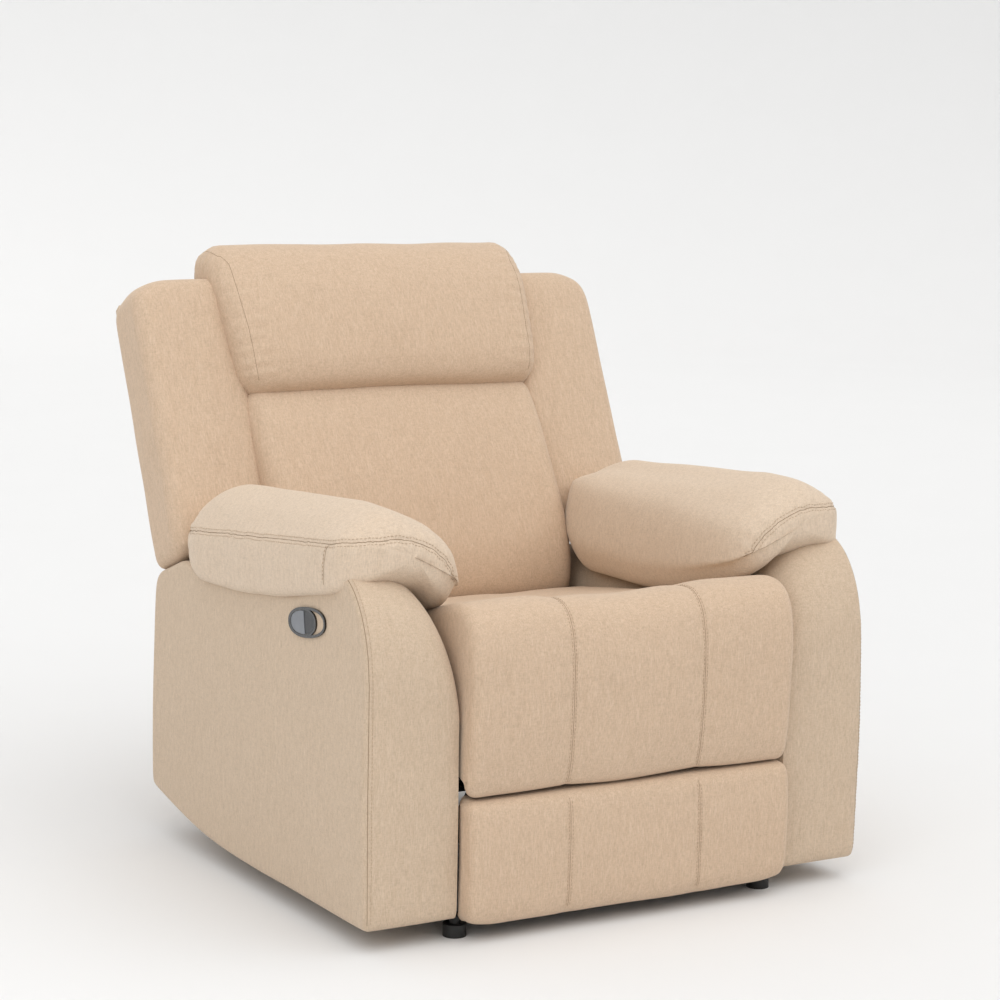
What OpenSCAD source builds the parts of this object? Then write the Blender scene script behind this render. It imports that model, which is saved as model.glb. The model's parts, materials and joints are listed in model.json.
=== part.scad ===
// Power recliner armchair. Millimetres, +Z up, the sitter faces -Y.
// The origin is on the floor, under the middle of the chair's bounding box.
// Left means -X and right means +X, seen from the front.

/* [Overall] */
// Half of the width over the two arms at the floor
half_w = 457; // [445:1:465]
// Height of the fabric skirt above the floor
skirt_z = 34; // [28:1:40]
// Half of the width of the seat between the arms
seat_half = 298; // [290:1:299]

/* [Seat] */
// Lowest edge of the seat's front roll
roll_z = 232; // [231:1:240]
// Height of the crest at the front of the seat
crest_z = 524; // [500:1:530]
// Height of the seat at the back
seat_rear_z = 408; // [400:1:430]

/* [Arms] */
// Width of an arm
arm_w = 157; // [150:1:160]
// Front face of the arms, measured along Y
arm_front = -481; // [-490:1:-475]
// Rear face of the arms, measured along Y
arm_rear = 322; // [310:1:324]

/* [Back] */
// Lean of the backrest at rest, in degrees
lean = 24; // [20:1:26]
// Distance of the recline pivot behind the origin
recline_y = 190; // [185:1:195]
// Height of the recline pivot
recline_z = 330; // [325:1:335]
// Length of the backrest up to the top of the wings
wing_top = 656; // [640:1:670]
// Length of the backrest up to the top of the head cushion
head_top = 729; // [700:1:732]
// Where the head cushion meets the lumbar cushion
head_seam = 442; // [430:1:450]

/* [Footrest] */
// Lower edge of the footrest panel
panel_z0 = 25; // [24:1:30]
// Upper edge of the footrest panel
panel_z1 = 223; // [210:1:224]
// Turn of the drive links over the whole travel, in degrees
drive_turn = 88; // [60:1:88]
// Length of the drive links between their pivots
drive_len = 182; // [170:1:182]

/* [Switch] */
// Length of the oval control on the left arm
switch_l = 126; // [110:1:130]
// Height of the oval control
switch_h = 48; // [40:1:52]

/* [Hidden] */
$fn = 48;
gap = 0.3;              // space between soft pieces on different bodies
fit = 0.05;             // radial clearance of a pin in its hole
plate = 4;              // thickness of the linkage bars
bar_w = 16;             // width of the linkage bars
pin_r = 4;              // radius of the linkage rivets
arm_in = half_w - arm_w + 3;  // inner face of an arm at mid height
arm_top = 576;          // top of the arm's arch
arch_z = 400;           // height at which the arch starts on the inner side
arch_x = 445;           // where the arch leaves the outer edge
edge_r = 10;            // rounding of the arm's outer edge
wall = 14;              // thickness of the arm casing's padded wall

// Pivots of the footrest linkage as [y, z]. Angles count from the
// forward direction (-Y) upwards, and every bar turns that way.
function reach(a, r) = [-r * cos(a), r * sin(a)];
drive_a0 = 254;                             // drive link at rest
drive_o = [-385, 240];                      // drive link on the side plate
drive_e = drive_o + reach(drive_a0, drive_len);
carry = reach(222, 35);                     // offset of the support link
support_o = drive_o + carry;
support_f = drive_e + carry;
panel_r = [-440, 196];                      // footrest bracket on the front link
ear = reach(95, 28);                        // offset of the control link
control_g = drive_e + ear;
control_h = panel_r + ear;

// Planes of the bars across the chair, outermost first
plane_side = 272;
plane_support = 266;
plane_drive = 260;
plane_front = 254;
plane_foot = 248;

// Torque tube's crank and the block that pushes it
crank_r = 55;
crank_a0 = 270 - drive_turn / 2;
crank_pin = drive_o + reach(crank_a0, crank_r);
block_stroke = 2 * crank_r * sin(drive_turn / 2);
rail_z = 150;
rail_front = -448;
rail_rear = 62;

// Control on the left arm
switch_c = [-281, 476];
switch_tilt = 8;
oval_sides = 40;        // sides of the control's oval outline
oval_power = 0.88;      // 1 is an ellipse, less is squarer
switch_face = 463;

cloth = [0.82, 0.70, 0.54];
steel = [0.16, 0.16, 0.17];
timber = [0.72, 0.56, 0.36];

// ---------------------------------------------------------------- helpers

// A pair of pieces, one on each side of the chair
module pair() {
    children();
    mirror([1, 0, 0]) children();
}

// One side of the chair: 1 is right, -1 is left
module on_side(s) {
    mirror([s < 0 ? 1 : 0, 0, 0]) children();
}

// Extrudes a [y, z] outline from x0 to x1
module across(x0, x1) {
    translate([x0, 0, 0]) rotate([90, 0, 90]) linear_extrude(x1 - x0) children();
}

// Extrudes an [x, z] outline from y0 to y1
module along(y0, y1) {
    translate([0, y1, 0]) rotate([90, 0, 0]) linear_extrude(y1 - y0) children();
}

// A box given by its two corners
module block(p, q) {
    translate(p) cube(q - p);
}

// A cylinder along X between x0 and x1 through the [y, z] point p
module rod(p, r, x0, x1) {
    translate([x0, p[0], p[1]]) rotate([0, 90, 0]) cylinder(h = x1 - x0, r = r);
}

// The outline of a flat bar with round ends between two [y, z] points
module bar_outline(p, q, w) {
    d = q - p;
    a = atan2(d[1], d[0]);
    polygon(concat(arc(p, w / 2, w / 2, a + 90, a + 270, 12), arc(q, w / 2, w / 2, a - 90, a + 90, 12)));
}

// The round hole of a rivet in a bar's outline
module eye(p, r) {
    translate(p) circle(r = r);
}

// Points on an ellipse's arc from angle a0 to a1
function arc(c, rx, ry, a0, a1, n) =
    [for (i = [0:n]) c + [rx * cos(a0 + (a1 - a0) * i / n), ry * sin(a0 + (a1 - a0) * i / n)]];

// The backrest's own frame: z runs up the back and -y is its front
module back_frame_of_reference() {
    translate([0, recline_y, recline_z]) rotate([-lean, 0, 0]) children();
}

// A cushion-like block with round edges between two corners
module pillow(p, q, r) {
    hull() for (x = [p[0] + r, q[0] - r], y = [p[1] + r, q[1] - r], z = [p[2] + r, q[2] - r])
        translate([x, y, z]) sphere(r = r, $fn = 24);
}

// ---------------------------------------------------------------- base

glide_x = 287;
glide_y = [-445, 262];
rail_y = [-455, 296];
rail_box = [276, 298, 30, 100];

module glides() color([0.08, 0.08, 0.08]) pair() for (y = glide_y)
    translate([glide_x, y, 0]) {
        cylinder(h = 20, r = 18.5);
        translate([0, 0, 20]) cylinder(h = 10, r = 8);
    }

// Steel angles that carry the mechanism and the arms
module base_rails() color(steel) pair() difference() {
    union() {
        block([rail_box[1] - 3, rail_y[0], rail_box[2]], [rail_box[1], rail_y[1], rail_box[3]]);
        block([rail_box[0], rail_y[0], rail_box[2]], [rail_box[1], rail_y[1], rail_box[2] + 3]);
    }
    for (y = arm_bolt_y) rod([y, arm_bolt_z], bolt_hole_r, 290, 300);
}

cross_y = [-100, 240];
cross_z = 48;
cross_r = 12;
module base_cross_tubes() color(steel) for (y = cross_y)
    rod([y, cross_z], cross_r, -rail_box[1] + 3, rail_box[1] - 3);

// Plates that carry the fixed pivots of the footrest linkage
module side_plates() color(steel) pair() across(plane_side, plane_side + plate) difference() {
    union() {
        polygon([[-415, 180], [-430, 284], [-150, 284], [-150, 240], [-240, 150], [-240, 30],
            [-345, 30], [-345, 150]]);
        eye(drive_o, 24);
    }
    eye(drive_o, tube_end + fit);
    eye(support_o, pin_r + fit);
    eye(support_tube_c, 10);
}

support_tube_c = [-290, 190];
tube_end = 9;
module support_tube() color(steel) rod(support_tube_c, 9.9, -plane_side - plate, plane_side + plate);

module support_pins() color([0.6, 0.6, 0.62]) pair() {
    rod(support_o, pin_r, plane_support - 1, plane_side + plate);
    rod(support_o, 7, plane_side + plate, plane_side + plate + 3);
    rod(support_o, 6, plane_support - 1.6, plane_support - 1);
}

// Upright plates that carry the backrest
post_x = 288;
recline_pin_r = 6;
module recline_posts() color(steel) pair() across(post_x, post_x + 5) difference() {
    polygon([[130, 33], [150, 300], [165, 352], [215, 352], [230, 300], [275, 33]]);
    eye([recline_y, recline_z], recline_pin_r + fit);
    eye([cross_y[1], cross_z], cross_r);
}

module recline_pins() color([0.6, 0.6, 0.62]) pair() {
    rod([recline_y, recline_z], recline_pin_r, upright_x[1] + gap, post_x + 5);
    rod([recline_y, recline_z], 11, post_x + 5, post_x + 9);
}

// ---------------------------------------------------------------- arms

// Outline of an arm seen from the side
module arm_side(inset) {
    polygon(concat(
        [[arm_front + inset, skirt_z + inset], [-60, skirt_z + inset]],
        [for (t = [0.25:0.25:1]) [-60 + (arm_rear - inset + 60) * t, skirt_z + inset + 49 * t * t]],
        [[arm_rear - inset - 14, 456 - inset], [200, 505 - inset]],
        [[-100, 512 - inset], [-280, 536 - inset]],
        arc([-370, 416], 111 - inset, 159 - inset, 90, 180, 10)));
}

// Outline of the right arm seen from the front
module arm_front_outline(inset) {
    polygon(concat(
        [[arm_in + inset, skirt_z], [half_w - inset, skirt_z]],
        [for (t = [0.2:0.2:0.8]) [half_w + 4 * sin(180 * t) - inset + 3 * t, skirt_z + (arch_z - skirt_z) * t]],
        arc([half_w - edge_r, arm_top - edge_r], edge_r - inset / 3, edge_r - inset, 0, 90, 3),
        [for (a = [96:7:180]) [arch_x - (arch_x - arm_in - 8 - inset) * pow(-cos(a), 0.8),
            arch_z + (arm_top - arch_z - inset) * pow(sin(a), 0.8)]],
        [[arm_in + inset, 225]]));
}

arm_bolt_y = [-400, 110];
arm_bolt_z = 88;
bolt_r = 4;
bolt_hole_r = 4.3;
flange_t = 5;           // thickness of the control's rim

// The padded casing of an arm, hollow around its timber frame
module arm_shell(s) color(cloth) on_side(s) difference() {
    intersection() {
        across(290, 480) arm_side(0);
        along(-500, 340) arm_front_outline(0);
    }
    intersection() {
        across(290, 480) arm_side(wall + 4);
        along(-500, 340) arm_front_outline(wall);
    }
    for (y = arm_bolt_y) rod([y, arm_bolt_z], bolt_hole_r, 290, 330);
    if (s < 0) switch_place() {
        linear_extrude(40, center = true) oval(switch_l - 10, switch_h - 10);
        translate([0, 0, -flange_t - gap]) linear_extrude(20) oval(switch_l + 1, switch_h + 1);
    }
}
module arm_shell_left() arm_shell(-1);
module arm_shell_right() arm_shell(1);

// Timber frame inside an arm, as straight bars
module arm_frame(s) color(timber) on_side(s) {
    difference() {
        block([320, -420, 70], [345, 150, 110]);
        for (y = arm_bolt_y) rod([y, arm_bolt_z], bolt_hole_r, 310, 350);
    }
    block([420, -420, 70], [442, 150, 110]);
    block([345, -440, 70], [420, -420, 440]);
    block([345, 150, 80], [420, 170, 440]);
    block([345, -420, 440], [420, 220, 462]);
}
module arm_frame_left() arm_frame(-1);
module arm_frame_right() arm_frame(1);

module arm_bolts() color([0.6, 0.6, 0.62]) pair() for (y = arm_bolt_y) {
    rod([y, arm_bolt_z], bolt_r, 292, 344);
    rod([y, arm_bolt_z], 7, 292, 295);
}

// The padded rest on top of an arm, hollowed where it sits on the arch
module arm_pad(s) color(cloth) on_side(s) difference() {
    hull() {
        translate([415, 195, 552]) sphere(r = 40, $fn = 32);
        translate([318, 185, 560]) sphere(r = 50, $fn = 32);
        translate([360, 150, 575]) sphere(r = 55, $fn = 32);
        translate([390, -100, 580]) sphere(r = 68, $fn = 32);
        translate([335, -100, 580]) sphere(r = 68, $fn = 32);
        translate([398, -370, 595]) sphere(r = 57, $fn = 32);
        translate([322, -367, 585]) sphere(r = 60, $fn = 32);
        // The side that hangs over the arm's inner edge
        translate([287, 80, 468]) sphere(r = 24, $fn = 32);
        translate([287, -120, 468]) sphere(r = 24, $fn = 32);
        translate([290, -350, 532]) sphere(r = 28, $fn = 32);
    }
    translate([0, 0, 0.5]) intersection() {
        across(290, 480) arm_side(0);
        along(-500, 340) arm_front_outline(0);
    }
    translate([0, 0, 1]) across(200, seat_half + 1) seat_outline();
    back_frame_of_reference() {
        block([280, wing_front - 4, 100], [480, 80, 700]);
        block([200, lumbar_front - 4, 20], [lumbar_half + 4, 80, head_seam + 20]);
    }
}
module arm_pad_left() arm_pad(-1);
module arm_pad_right() arm_pad(1);

// ---------------------------------------------------------------- seat

module seat_side_rails() color(timber) pair() block([246, -438, 254], [271, 150, 284]);

module seat_cross_rails() color(timber) {
    block([-271, -470, 246], [271, -440, 284]);
    block([-245, 125, 252], [245, 150, 284]);
}

webbing_x = [-200, -100, 0, 100, 200];
// Elastic straps over the rails that carry the seat cushion
module seat_webbing() color([0.35, 0.33, 0.3]) for (x = webbing_x)
    block([x - 30, -468, 284], [x + 30, 148, 286]);

// Side outline of the seat cushion, from under its front roll over the top
module seat_outline() {
    polygon(concat(
        [[-478, roll_z + 4], [-486, roll_z], [-500, roll_z + 6]],
        arc([-440, 340], 76, 96, 226, 180, 5),
        arc([-440, crest_z - 95], 76, 95, 180, 90, 8),
        [[-370, crest_z - 18], [-300, crest_z - 40], [-120, crest_z - 80], [60, seat_rear_z + 4]],
        arc([90, seat_rear_z - 30], 34, 30, 80, 0, 4),
        [[124, 330], [118, 290], [-478, 289]]));
}

module seat_cushion() color(cloth) across(-seat_half, seat_half) seat_outline();

inlet_c = [62, 106];
module rear_valance() color(cloth) difference() {
    block([-seat_half, 296, 70], [seat_half, 304, 290]);
    translate([inlet_c[0], 290, inlet_c[1]]) rotate([-90, 0, 0]) cylinder(h = 30, r = 8 + gap);
}

// ---------------------------------------------------------------- drive

module actuator_rail() color([0.5, 0.5, 0.52]) difference() {
    block([-16, rail_front, rail_z - 14], [16, rail_rear, rail_z + 14]);
    block([-12, rail_front - 1, rail_z - 10], [12, rail_rear + 1, rail_z + 10]);
    block([-5, rail_front - 1, rail_z], [5, rail_rear - 20, rail_z + 15]);
}

module lead_screw() color([0.7, 0.7, 0.72]) translate([0, rail_rear, rail_z]) rotate([90, 0, 0])
    cylinder(h = rail_rear - rail_front - 6, r = 5);

module motor_housing() color([0.1, 0.1, 0.11]) {
    block([-34, rail_rear, rail_z - 26], [34, rail_rear + 70, rail_z + 26]);
    translate([0, rail_rear + 40, rail_z - 26]) mirror([0, 0, 1]) cylinder(h = 44, r = 27);
}

// Clamps that hold the rail to the support tube and to the middle cross tube
module motor_bracket() color(steel) {
    block([-20, -300, rail_z + 14], [20, -280, rail_z + 30.1]);
    block([-20, cross_y[0] - 8, 60], [20, cross_y[0] + 8, rail_z - 14]);
}

module power_inlet() color([0.05, 0.05, 0.05]) difference() {
    union() {
        translate([inlet_c[0] - 22, 278, inlet_c[1] - 14]) cube([44, 18, 28]);
        translate([inlet_c[0] - 16, 304, inlet_c[1] - 10]) cube([32, 4, 20]);
        translate([inlet_c[0], 296, inlet_c[1]]) rotate([-90, 0, 0]) cylinder(h = 8, r = 8);
    }
    translate([inlet_c[0], 288, inlet_c[1]]) rotate([-90, 0, 0]) cylinder(h = 30, r = 5);
}

// The nut block with a slotted yoke that pushes the crank pin
yoke_slot = 11;
module drive_block() color([0.75, 0.75, 0.77]) {
    translate([0, crank_pin[0], rail_z]) rotate([90, 0, 0]) difference() {
        translate([-11, -9, -22]) cube([22, 18, 44]);
        cylinder(h = 60, r = 5.06, center = true);
    }
    block([-4, crank_pin[0] - 16, rail_z + 9], [4, crank_pin[0] + 16, rail_z + 16]);
    difference() {
        block([-4, crank_pin[0] - 18, rail_z + 16], [4, crank_pin[0] + 18, 216]);
        block([-9, crank_pin[0] - 8, 176], [9, crank_pin[0] + 8, 208]);
    }
}

// ---------------------------------------------------------------- control

module oval(l, h) {
    polygon([for (i = [0:oval_sides - 1])
        let (a = 360 * i / oval_sides, c = cos(a), s = sin(a))
        [l / 2 * sign(c) * pow(abs(c), oval_power), h / 2 * sign(s) * pow(abs(s), oval_power)]]);
}

// Stands the control's own plane on the side of an arm: its x runs along
// the arm towards the back, its y is up and its z points out of the arm.
module switch_place() {
    translate([switch_face, switch_c[0], switch_c[1]]) rotate([90, 0, 90])
        rotate([0, 0, -switch_tilt]) children();
}

button_l = 82;           // length of the two buttons with the bar between them
button_h = switch_h - 12;
button_x = 13;           // how far they sit behind the oval's middle
bar_half = 6;            // half of the bar's width

module control_bezel() color([0.07, 0.07, 0.075]) on_side(-1) switch_place() difference() {
    union() {
        translate([0, 0, -flange_t]) linear_extrude(flange_t) oval(switch_l, switch_h);
        translate([0, 0, -22]) linear_extrude(19) oval(switch_l - 11, switch_h - 11);
    }
    translate([button_x, 0, -20]) linear_extrude(30) oval(button_l + 1, button_h + 1);
    translate([0, 0, -4]) linear_extrude(10) difference() {
        oval(switch_l - 9, switch_h - 9);
        translate([button_x, 0]) oval(button_l + 8, button_h + 8);
    }
}

module control_divider() color([0.35, 0.36, 0.38]) on_side(-1) switch_place()
    translate([button_x - bar_half, -button_h / 2, -20]) cube([2 * bar_half, button_h, 20.4]);

// One half of the oval, which is a push button
module button(s) color([0.2, 0.2, 0.21]) on_side(-1) switch_place() intersection() {
    translate([button_x, 0, -16]) linear_extrude(15.5) oval(button_l, button_h);
    translate([button_x + (s > 0 ? bar_half + gap : -80), -40, -30]) cube([80 - bar_half - gap, 80, 60]);
}
module button_open() button(-1);
module button_close() button(1);

module control_box() color([0.1, 0.1, 0.1]) on_side(-1) switch_place()
    translate([-38, -15, -36]) cube([76, 30, 14]);

// ---------------------------------------------------------------- backrest

upright_x = [257, 281];
module back_uprights() color(timber) back_frame_of_reference()
    pair() block([upright_x[0], 4, 0], [upright_x[1], 42, 640]);

module back_rails() color(timber) back_frame_of_reference() {
    block([-upright_x[0], 4, 600], [upright_x[0], 42, 640]);
    block([-upright_x[0], 4, 20], [upright_x[0], 42, 60]);
    block([-upright_x[0], 14, 330], [upright_x[0], 42, 370]);
}

// Elastic straps across the back frame
module back_webbing() color([0.35, 0.33, 0.3]) back_frame_of_reference()
    for (z = [90:90:560]) block([-upright_x[1] + 2, 2, z], [upright_x[1] - 2, 4, z + 50]);

module back_brackets() color(steel) back_frame_of_reference() pair() across(281, 286) difference() {
    polygon([[-14, -14], [-2, 60], [6, 170], [40, 170], [42, 20], [14, -14]]);
    circle(r = recline_pin_r + fit);
}

module wing_boards() color(timber) back_frame_of_reference() pair()
    block([296, 18, 200], [440, 40, 630]);

wing_front = -60;
wing_r = 13;            // rounding of a wing's edges
wing_in = 293;          // inner side of a wing
wing_bottom = 182;
// A wing beside the head and lumbar cushions
module wing(s) color(cloth) back_frame_of_reference() on_side(s)
    pillow([wing_in, wing_front, wing_bottom], [half_w, 17, wing_top], wing_r);
module wing_left() wing(-1);
module wing_right() wing(1);

lumbar_front = -114;     // front of the lumbar cushion
lumbar_half = 290;       // half of its width
module lumbar_cushion() color(cloth) back_frame_of_reference() hull() {
    for (x = [22 - lumbar_half, lumbar_half - 22]) {
        translate([x, -30, 36]) sphere(r = 18, $fn = 24);
        translate([x, -70, 60]) sphere(r = 22, $fn = 24);
        translate([x, -92, 130]) sphere(r = 22, $fn = 24);
        translate([x, -88, 300]) sphere(r = 22, $fn = 24);
        translate([x, -50, head_seam - 20]) sphere(r = 18, $fn = 24);
        translate([x, -24, head_seam - 20]) sphere(r = 18, $fn = 24);
    }
}

module head_cushion() color(cloth) back_frame_of_reference() difference() {
    union() {
        hull() for (x = [-274, 274]) {
            translate([x, -26, head_seam + 24]) sphere(r = 16, $fn = 24);
            translate([x, -76, head_seam + 34]) sphere(r = 28, $fn = 24);
            translate([x * 1.06, -76, 620]) sphere(r = 28, $fn = 24);
            translate([x * 1.03, -40, head_top - 34]) sphere(r = 34, $fn = 24);
        }
        hull() for (x = [-274, 274]) {
            translate([x, -40, head_top - 32]) sphere(r = 32, $fn = 24);
            translate([x, 16, head_top - 38]) sphere(r = 30, $fn = 24);
        }
    }
    pair() block([wing_in - 1, wing_front - 1, 100], [500, 80, wing_top + 1]);
}

// The upholstered panel behind the back, narrower below the wings
module back_cover() color(cloth) back_frame_of_reference() {
    block([-upright_x[1], 42.5, -10], [upright_x[1], 50, 190]);
    block([-half_w + 1, 42.5, 190], [half_w - 1, 50, 640]);
}

// ---------------------------------------------------------------- footrest

module drive_links() color(steel) pair() across(plane_drive, plane_drive + plate) difference() {
    union() {
        bar_outline(drive_o, drive_e, bar_w + 2);
        bar_outline(drive_e, control_g, bar_w);
        eye(drive_o, 12.5);
    }
    eye(drive_o, tube_end);
    eye(drive_e, pin_r);
    eye(control_g, pin_r);
}

module drive_rivets() color([0.6, 0.6, 0.62]) pair() for (p = [drive_e, control_g]) {
    rod(p, pin_r - fit, plane_front - 1, plane_drive + plate);
    rod(p, 6.5, plane_drive + plate, plane_drive + plate + 1.2);
}

module torque_tube() color(steel)
    rod(drive_o, tube_end - fit, -plane_side - plate - 2, plane_side + plate + 2);

module crank() color(steel) {
    pair() across(12, 16) difference() {
        union() {
            bar_outline(drive_o, crank_pin, 20);
            eye(drive_o, 15);
        }
        eye(drive_o, tube_end);
    }
    rod(crank_pin, 5, -12, 12);
}

module support_links() color(steel) pair() across(plane_support, plane_support + plate) difference() {
    bar_outline(support_o, support_f, bar_w);
    eye(support_o, pin_r + fit);
    eye(support_f, pin_r + 0.5);
}

module front_links() color(steel) pair() across(plane_front, plane_front + plate) difference() {
    union() {
        bar_outline(drive_e, panel_r, bar_w);
        bar_outline(drive_e, support_f, bar_w);
    }
    eye(drive_e, pin_r + fit);
    eye(panel_r, pin_r + fit);
    eye(support_f, pin_r);
}

module front_rivets() color([0.6, 0.6, 0.62]) pair()
    rod(support_f, pin_r - fit, plane_front, plane_support + plate + 1);

module control_links() color(steel) pair() across(plane_front, plane_front + plate) difference() {
    bar_outline(control_g, control_h, 14);
    eye(control_g, pin_r + fit);
    eye(control_h, pin_r + 0.5);
}

board_y = -462;        // rear face of the footrest board
board_t = 14;
module footrest_brackets() color(steel) pair() {
    across(plane_foot, plane_foot + plate) difference() {
        union() {
            bar_outline(panel_r, control_h, bar_w + 2);
            polygon([[board_y, 60], [board_y, 214], [-440, 214], [-432, 190], [-440, 170], [board_y + 10, 60]]);
        }
        eye(panel_r, pin_r);
        eye(control_h, pin_r);
    }
    difference() {
        block([222, board_y, 60], [plane_foot, board_y + 3, 214]);
        for (z = screw_z) translate([screw_x, board_y, z]) rotate([90, 0, 0])
            cylinder(h = 20, r = 3.1, center = true);
    }
}

module footrest_rivets() color([0.6, 0.6, 0.62]) pair() for (p = [panel_r, control_h]) {
    rod(p, pin_r - fit, plane_foot, plane_front + plate + 0.8);
    rod(p, 6.5, plane_foot - 2, plane_foot);
}

module footrest_board() color(timber) difference() {
    block([-285, board_y - board_t, panel_z0 + 8], [285, board_y, panel_z1 - 10]);
    footrest_screw_places() cylinder(h = 60, r = 3.1, center = true);
}

screw_x = 234;
screw_z = [80, 195];
module footrest_screw_places() {
    pair() for (z = screw_z) translate([screw_x, board_y, z]) rotate([90, 0, 0]) children();
}

module footrest_screws() color([0.6, 0.6, 0.62]) footrest_screw_places() {
    translate([0, 0, -3]) cylinder(h = board_t + 3, r = 3);
    translate([0, 0, -6]) cylinder(h = 3, r = 6);
}

pad_front = -513;
module footrest_pad() color(cloth) difference() {
    hull() for (x = [-seat_half + 14, seat_half - 14], z = [panel_z0 + 14, panel_z1 - 14]) {
        translate([x, pad_front + 14, z]) sphere(r = 14, $fn = 24);
        translate([x, board_y - 16, z]) sphere(r = 14, $fn = 24);
    }
    block([-286, board_y - board_t - 0.2, panel_z0 + 7], [286, board_y + 5, panel_z1 - 9]);
}

// ---------------------------------------------------------------- assembly

glides();
base_rails();
base_cross_tubes();
side_plates();
support_tube();
recline_posts();
recline_pins();
arm_frame_left();
arm_frame_right();
arm_shell_left();
arm_shell_right();
arm_pad_left();
arm_pad_right();
arm_bolts();
seat_side_rails();
seat_cross_rails();
seat_webbing();
seat_cushion();
rear_valance();
actuator_rail();
lead_screw();
motor_housing();
motor_bracket();
power_inlet();
control_bezel();
control_divider();
control_box();
support_pins();
back_uprights();
back_rails();
back_webbing();
back_brackets();
wing_boards();
lumbar_cushion();
head_cushion();
wing_left();
wing_right();
back_cover();
drive_links();
drive_rivets();
torque_tube();
crank();
support_links();
front_links();
front_rivets();
control_links();
footrest_brackets();
footrest_rivets();
footrest_board();
footrest_pad();
footrest_screws();
drive_block();
button_open();
button_close();
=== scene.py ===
"""Looks of the power recliner armchair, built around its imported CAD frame.

Lengths are millimetres in the CAD frame until a mesh is made, which turns them into metres.
"""

import json
import math

import bmesh
import bpy
import numpy as np
from mathutils import Matrix, Vector
from mathutils.bvhtree import BVHTree
from mathutils.noise import noise as value_noise


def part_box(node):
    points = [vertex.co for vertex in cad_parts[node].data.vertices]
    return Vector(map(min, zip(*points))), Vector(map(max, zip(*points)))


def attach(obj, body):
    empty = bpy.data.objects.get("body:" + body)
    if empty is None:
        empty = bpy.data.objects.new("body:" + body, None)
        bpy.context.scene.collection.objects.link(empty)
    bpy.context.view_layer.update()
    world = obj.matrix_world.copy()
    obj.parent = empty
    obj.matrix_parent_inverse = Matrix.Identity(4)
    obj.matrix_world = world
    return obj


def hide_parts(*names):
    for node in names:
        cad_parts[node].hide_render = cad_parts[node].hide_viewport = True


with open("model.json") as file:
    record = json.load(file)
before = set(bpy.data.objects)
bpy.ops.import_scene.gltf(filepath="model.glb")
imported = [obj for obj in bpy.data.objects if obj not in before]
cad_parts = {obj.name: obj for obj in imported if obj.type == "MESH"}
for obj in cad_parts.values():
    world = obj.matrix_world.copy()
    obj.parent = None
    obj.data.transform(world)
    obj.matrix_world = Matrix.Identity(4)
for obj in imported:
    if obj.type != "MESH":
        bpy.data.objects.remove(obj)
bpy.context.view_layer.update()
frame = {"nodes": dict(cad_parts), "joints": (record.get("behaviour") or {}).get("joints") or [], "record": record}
MM = 0.001

# ------------------------------------------------------------------ dimensions, from the frame


def node_box(name):
    """Lowest and highest corner of a CAD node, in millimetres."""
    low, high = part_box(name)
    return np.array(low) / MM, np.array(high) / MM


def joint(name):
    """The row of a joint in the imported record."""
    return next(j for j in frame["joints"] if j["name"] == name)


SHELL_LOW, SHELL_HIGH = node_box("arm_shell_right")
SEAT_LOW, SEAT_HIGH = node_box("seat_cushion")
FOOT_LOW, FOOT_HIGH = node_box("footrest_pad")
RECLINE = np.array(joint("backrest_recline")["pos_m"]) / MM
LEAN = math.radians(24)
ARM_IN = SHELL_LOW[0]
ARM_OUT = 460.0
ARM_FRONT = SHELL_LOW[1]
ARM_REAR = SHELL_HIGH[1]
ARM_TOP = 576.0
ARM_INNER_TOP = 400.0
PAD_MIDDLE = 560.0
SKIRT = SHELL_LOW[2]
SEAT_HALF = SEAT_HIGH[0]

# ------------------------------------------------------------------ camera and light

CAMERA_AT = Vector((-2.2895, -3.925, 1.2714))
CAMERA_YAW = 0.5300
CAMERA_DOWN = 0.1474
CAMERA_ROLL = 0.0163
CAMERA_LENS = 97.19
CAMERA_SHIFT = (0.0182, 0.0018)


def make_camera():
    """A long-lens camera at the front left, a little above the chair."""
    ahead = Vector((math.sin(CAMERA_YAW) * math.cos(CAMERA_DOWN),
                    math.cos(CAMERA_YAW) * math.cos(CAMERA_DOWN), -math.sin(CAMERA_DOWN)))
    right = ahead.cross(Vector((0, 0, 1))).normalized()
    up = right.cross(ahead)
    turn = (math.cos(CAMERA_ROLL), math.sin(CAMERA_ROLL))
    rolled_right = turn[0] * right + turn[1] * up
    rolled_up = -turn[1] * right + turn[0] * up
    data = bpy.data.cameras.new("camera")
    data.sensor_width = 36
    data.lens = CAMERA_LENS
    data.shift_x, data.shift_y = CAMERA_SHIFT
    camera = bpy.data.objects.new("camera", data)
    basis = Matrix((rolled_right, rolled_up, -ahead)).transposed().to_4x4()
    camera.matrix_world = Matrix.Translation(CAMERA_AT) @ basis
    bpy.context.scene.collection.objects.link(camera)
    bpy.context.scene.camera = camera


def make_light(name, at, aim, size, power, tint=(1, 1, 1)):
    """A square area light at one place, aimed at another."""
    data = bpy.data.lights.new(name, "AREA")
    data.size = size
    data.energy = power
    data.color = tint
    lamp = bpy.data.objects.new(name, data)
    lamp.location = at
    lamp.rotation_euler = (Vector(aim) - Vector(at)).to_track_quat("-Z", "Y").to_euler()
    bpy.context.scene.collection.objects.link(lamp)


def make_sun(name, toward, strength, spread, tint=(1, 1, 1)):
    """A soft distant light; toward points at it from the chair."""
    data = bpy.data.lights.new(name, "SUN")
    data.energy = strength
    data.angle = math.radians(spread)
    data.color = tint
    lamp = bpy.data.objects.new(name, data)
    lamp.rotation_euler = Vector(toward).to_track_quat("Z", "Y").to_euler()
    bpy.context.scene.collection.objects.link(lamp)


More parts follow.
